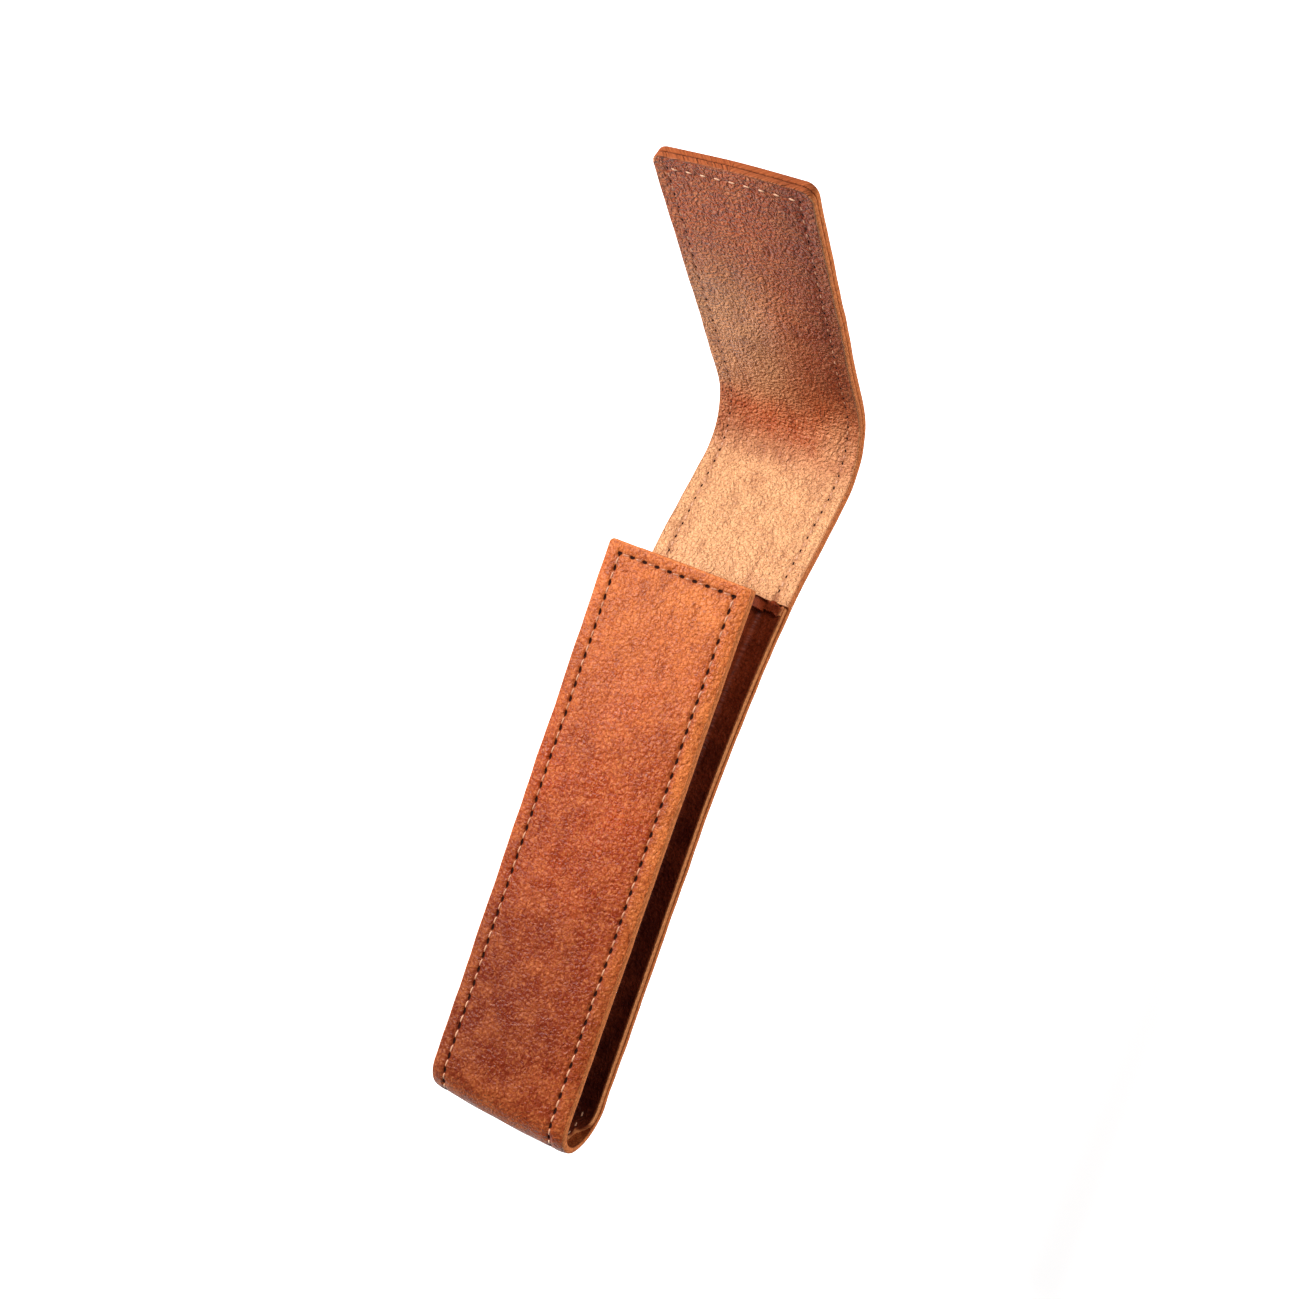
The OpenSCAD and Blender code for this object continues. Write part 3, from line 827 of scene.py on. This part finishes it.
def open_layers(x, s):
    """How far the flap's outer leather parts from its lining, at its edges."""
    near = np.maximum(smooth((s - END_S + 3.0) / 3.0), 0.6 * smooth((np.abs(x) - 13.4) / 1.6))
    return 0.2 * near * smooth((s - MOUTH_S) / 20.0)


def shoulders(s):
    """The lining is narrow inside the pocket and as wide as the strap above the mouth."""
    return np.where(s < MOUTH_S - GUSSET_DROP, PANEL_X, HALF_W)


STITCH_GAP = 0.9  # leather between one stitch and the next
STITCH_DEPTH = 0.17  # of a stitch's middle below the outer face


def stitch_places(start, end, both):
    """Stitches whose middles lie in this stretch of the side seams. both adds those that show on
    the lining, and the foot's inner side always has its own."""
    length = SEAM_PITCH - STITCH_GAP
    places = []
    for k in range(SEAM_COUNT):
        s = MOUTH_INSET + (k + 0.5) * SEAM_PITCH
        if not start <= s < end:
            continue
        pale = 0.05 + 0.2 * float(smooth((s - 60) / 45)) + 0.1 * math.sin(7.3 * k)
        for side in (-1, 1):
            x = side * float(seam_x(s))
            places.append((x, s, STITCH_DEPTH, length, False, 1.0, pale))
            if both and s > MOUTH_S + 0.5:
                places.append((x, s, STACK_T - 0.16, length, False, -1.0, 0.1 * math.sin(5 * k)))
            # Inside the foot the stitches are drawn fully pale, a painted glint in the dark hollow
            if BEND_S + 3 < s < BACK_S - 2:
                places.append((x, s, STACK_T + 0.02, length + 0.2, False, -1.0, 1.0))
    return places


def cross_places(run, pitch, depth, sign, pale):
    """Stitches of a seam across the strap."""
    return [((k + 0.5 - CROSS_COUNT / 2) * pitch, run, depth, pitch - STITCH_GAP, True, sign, pale)
            for k in range(CROSS_COUNT)]


for k, part in enumerate(PARTS):
    start, end = CUTS[k], CUTS[k + 1]
    free = k == len(PARTS) - 1
    ends, corners = (False, free), (0, TIP_R if free else 0)
    outer = leather_strip(f"{part}_leather", OUTER, start, end, 0.0, OUTER_T,
                          ends=ends, corners=corners, lift=open_layers)
    lining = leather_strip(f"{part}_lining_leather", LINING, start, end, OUTER_T, STACK_T,
                           ends=ends, corners=corners, faces="in",
                           waist=shoulders if k == 0 else None)
    places = stitch_places(start, end, True)
    if free:
        places += cross_places(END_S - TIP_INSET, CROSS_PITCH_TIP, 0.12, 1.0, 0.2)
        places += cross_places(END_S - TIP_INSET, CROSS_PITCH_TIP, STACK_T - 0.1, -1.0, 0.6)
    thread = stitches(f"{part}_thread", THREAD, places)
    for piece, layer, slot in ((outer, "outer", "outer_leather"), (lining, "lining", "lining_leather"),
                               (thread, "seam", "thread")):
        bend_at(piece)
        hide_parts(node_of(part, layer))

for side, node in ((-1, "seam_left"), (1, "seam_right")):
    mine = [p for p in stitch_places(0.0, CUTS[0], False) if p[0] * side > 0]
    seam = stitches(f"{node}_thread", THREAD, mine)
    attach(seam, "sleeve")
    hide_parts(node)

lip_seam = stitches("mouth_seam_thread", THREAD,
                    cross_places(MOUTH_INSET, CROSS_PITCH_MOUTH, STITCH_DEPTH, 1.0, 0.0))
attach(lip_seam, "sleeve")
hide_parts("mouth_seam")

for node in ("front_magnet", "flap_magnet"):
    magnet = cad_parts[node]
    magnet.data.materials.clear()
    magnet.data.materials.append(STEEL)

# Camera, at the photograph's angle: the directions to its right, up and back, then its place

camera_data = bpy.data.cameras.new("camera")
camera_data.sensor_width = 36.0
camera_data.lens = 48.688
camera = bpy.data.objects.new("camera", camera_data)
scene.collection.objects.link(camera)
right = Vector((0.828689, 0.322822, -0.457232))
up = Vector((-0.337020, 0.940012, 0.052864))
back = Vector((0.446869, 0.110288, 0.887775))
place = Vector((0.14011538, 0.09246406, 0.29276844))
turn = Matrix((right, up, back)).transposed().to_4x4()
camera.matrix_world = Matrix.Translation(place) @ turn
scene.camera = camera

# Studio: a white floor below the sleeve, a white world and soft lamps

FLOOR_Z = -0.096  # the flap can hang 89 mm below the back panel
floor_mesh = bmesh.new()
bmesh.ops.create_grid(floor_mesh, x_segments=1, y_segments=1, size=0.8)
bmesh.ops.translate(floor_mesh, vec=(0, 0, FLOOR_Z), verts=floor_mesh.verts[:])
floor_data = bpy.data.meshes.new("floor")
floor_mesh.to_mesh(floor_data)
floor_mesh.free()
floor = bpy.data.objects.new("floor", floor_data)
scene.collection.objects.link(floor)


def floor_material():
    """Matt white paper. Camera, glossy and transmitted rays see it brightened to white, and it
    keeps the sleeve's shadow."""
    material, tree, shader = new_material("matt_white_paper")
    shader.inputs["Base Color"].default_value = linear("#f4f4f4")
    shader.inputs["Roughness"].default_value = 0.9
    rays = add(tree, "ShaderNodeLightPath").outputs
    seen = rays["Is Camera Ray"]
    for kind in ("Is Glossy Ray", "Is Transmission Ray"):
        seen = add(tree, "ShaderNodeMath", {0: seen, 1: rays[kind]}, operation="MAXIMUM")
    strength = add(tree, "ShaderNodeMath", {0: seen, 1: 0.62}, operation="MULTIPLY")
    glow = add(tree, "ShaderNodeEmission", {"Strength": strength})
    both = add(tree, "ShaderNodeAddShader", {0: shader, 1: glow})
    out = next(n for n in tree.nodes if n.type == "OUTPUT_MATERIAL")
    tree.links.new(both.outputs[0], out.inputs[0])
    return material


floor_data.materials.append(floor_material())

world = bpy.data.worlds.new("studio")
scene.world = world
world.use_nodes = True
sky = world.node_tree
sky.nodes.clear()
camera_ray = add(sky, "ShaderNodeLightPath").outputs["Is Camera Ray"]
fill = add(sky, "ShaderNodeBackground", {"Color": (1, 1, 1, 1), "Strength": 0.24})
white = add(sky, "ShaderNodeBackground", {"Color": (1, 1, 1, 1), "Strength": 1.0})
pick = add(sky, "ShaderNodeMixShader", {0: camera_ray, 1: fill, 2: white})
add(sky, "ShaderNodeOutputWorld", {0: pick})


def lamp(name, location, target, size, power):
    """A square soft lamp that points at its target."""
    data = bpy.data.lights.new(name, "AREA")
    data.size = size
    data.energy = power
    thing = bpy.data.objects.new(name, data)
    scene.collection.objects.link(thing)
    thing.location = location
    thing.rotation_euler = (Vector(target) - Vector(location)).to_track_quat("-Z", "Y").to_euler()


CENTRE = (0.0, 0.05, 0.01)
lamp("key", (-0.48, 0.17, 0.58), CENTRE, 0.18, 10.2)
lamp("side", (0.55, 0.52, 0.36), CENTRE, 0.30, 2.4)

scene.view_settings.view_transform = "Standard"
